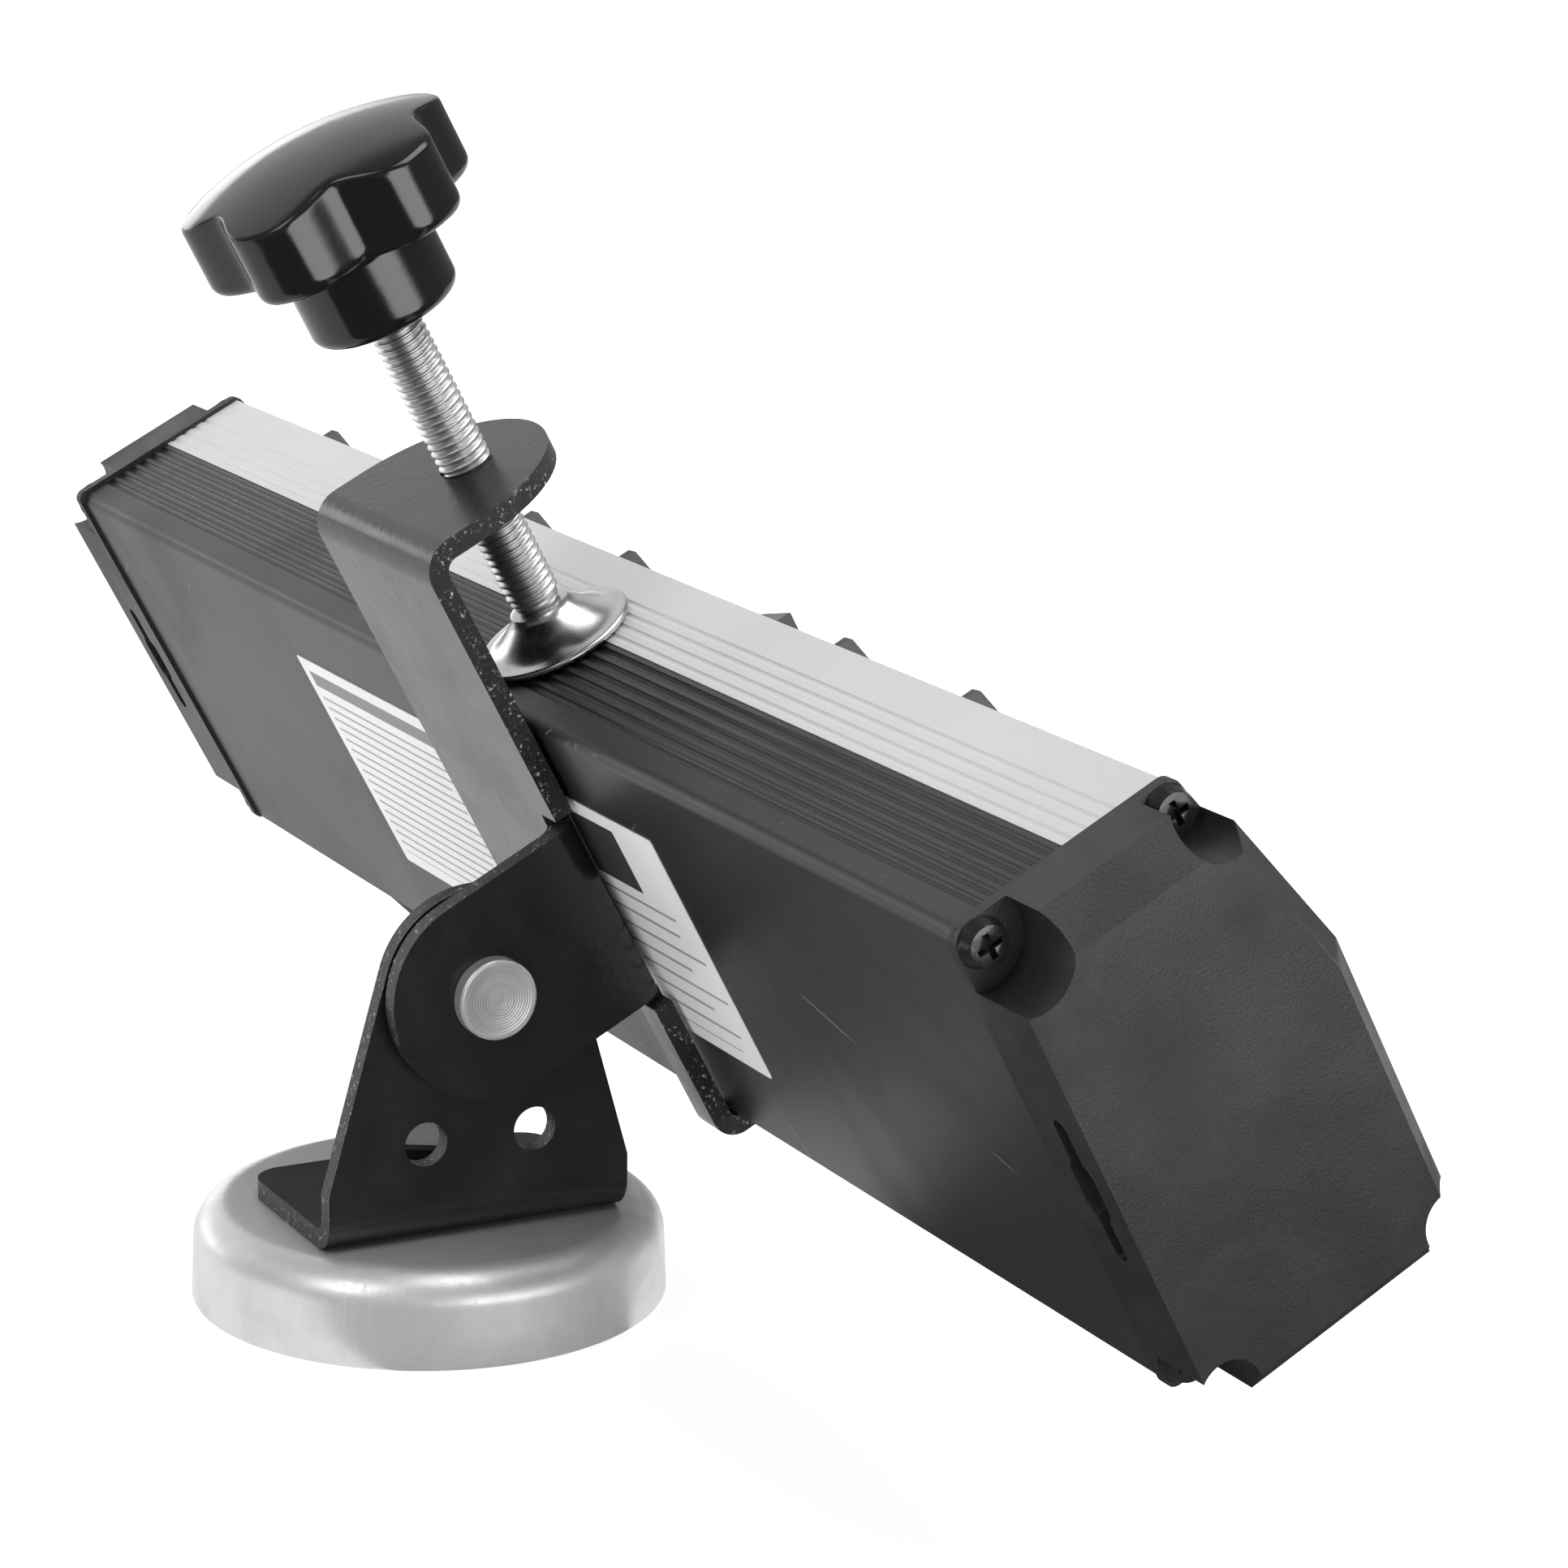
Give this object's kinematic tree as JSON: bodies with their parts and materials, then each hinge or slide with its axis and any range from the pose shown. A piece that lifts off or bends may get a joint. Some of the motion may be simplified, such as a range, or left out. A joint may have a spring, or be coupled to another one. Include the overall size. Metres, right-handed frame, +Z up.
{
  "type": "clamp-on power strip with magnetic base",
  "caption": "Surge-protected outlet strip held by a screw clamp on a tilting bracket with a magnetic foot.",
  "frame": {"origin": "centre of the magnet's bottom face", "axes": "+X along the outlet strip and the tilt axis, -Y towards the outlets, +Z up from the magnet's face"},
  "size_m": [0.3405, 0.1121, 0.1778],
  "materials": {
    "zinc_plate": "satin zinc plate",
    "ferrite": "ground ceramic magnet",
    "resin": "potting resin",
    "black_powder": "gloss black powder coat",
    "black_zinc": "black plated",
    "black_gloss_paint": "gloss black powder coat",
    "black_rubber": "matt rubber",
    "turned_steel": "turned face",
    "black_nylon": "nylon",
    "spring_steel": "spring steel",
    "black_anodised": "matt black anodised extrusion",
    "silver_anodised": "fine satin anodised extrusion",
    "black_moulding": "fine textured moulding",
    "dark_moulding": "dark grey moulding",
    "brass_bar": "plain brass",
    "bright_steel": "bright plated",
    "circuit_board": "solder mask",
    "component_blue": "epoxy dipped",
    "switch_red": "gloss moulding",
    "button_white": "white moulding",
    "lamp_green": "clear tinted lens",
    "cord_rubber": "moulded strain relief",
    "label_film": "blank pale film",
    "bright_zinc": "bright zinc plate",
    "gloss_phenolic": "gloss black moulding"
  },
  "bodies": {
    "base": {"magnet_cup": "zinc_plate", "ring_magnet": "ferrite", "resin_seal": "resin", "base_bracket": "black_powder", "base_washer": "black_zinc", "base_bolt": "black_zinc"},
    "pad": {"clamp_pad": "bright_zinc"},
    "screw": {"clamp_screw": "bright_zinc", "knob": "gloss_phenolic", "knob_insert": "brass_bar"},
    "rocker_body": {"rocker": "switch_red"},
    "reset_body": {"reset_button": "button_white"},
    "clamp": {"clamp_frame": "black_gloss_paint", "arm_liner": "black_rubber", "pivot_rivet": "turned_steel", "friction_washer": "black_nylon", "spring_washer": "spring_steel", "rear_housing": "black_anodised", "front_housing": "silver_anodised", "end_cap_near": "black_moulding", "end_cap_far": "black_moulding", "cap_screws": "black_zinc", "outlet_1": "dark_moulding", "outlet_2": "dark_moulding", "outlet_3": "dark_moulding", "outlet_4": "dark_moulding", "outlet_5": "dark_moulding", "outlet_6": "dark_moulding", "bus_line": "brass_bar", "bus_neutral": "brass_bar", "bus_ground": "brass_bar", "usb_module": "dark_moulding", "usb_ports": "bright_steel", "usb_board": "circuit_board", "switch_housing": "dark_moulding", "breaker_body": "dark_moulding", "lamp_lenses": "lamp_green", "surge_board": "circuit_board", "varistors": "component_blue", "thermal_fuse": "component_blue", "terminal_block": "component_blue", "cord_gland": "cord_rubber", "rating_label": "label_film", "maker_label": "label_film"}
  },
  "joints": [
    {"name": "clamp_tilt", "type": "hinge", "parent": "base", "child": "clamp", "pos_m": [-0.0189, 0, 0.0516], "axis": [1, 0, 0], "range_deg": [-60, 12]},
    {"name": "pad_slide", "type": "slide", "parent": "clamp", "child": "pad", "axis": [0, 0.4695, 0.8829], "range_m": [0, 0.018]},
    {"name": "screw_turn", "type": "hinge", "parent": "pad", "child": "screw", "pos_m": [-0.0012, -0.02005, 0.09782], "axis": [0, 0.4695, 0.8829], "range_deg": [0, 5190]},
    {"name": "rocker_tip", "type": "hinge", "parent": "clamp", "child": "rocker_body", "pos_m": [0.1215, -0.0653, 0.06299], "axis": [1, 0, 0], "range_deg": [-8, 8]},
    {"name": "reset_press", "type": "slide", "parent": "clamp", "child": "reset_body", "axis": [0, 0.8829, -0.4695], "range_m": [0, 0.002], "stiffness_N_per_m": 600, "springref_m": -0.0005}
  ],
  "couplings": [
    {"joint": "screw_turn", "follows": "pad_slide", "rad_per_m": 5026.5}
  ]
}
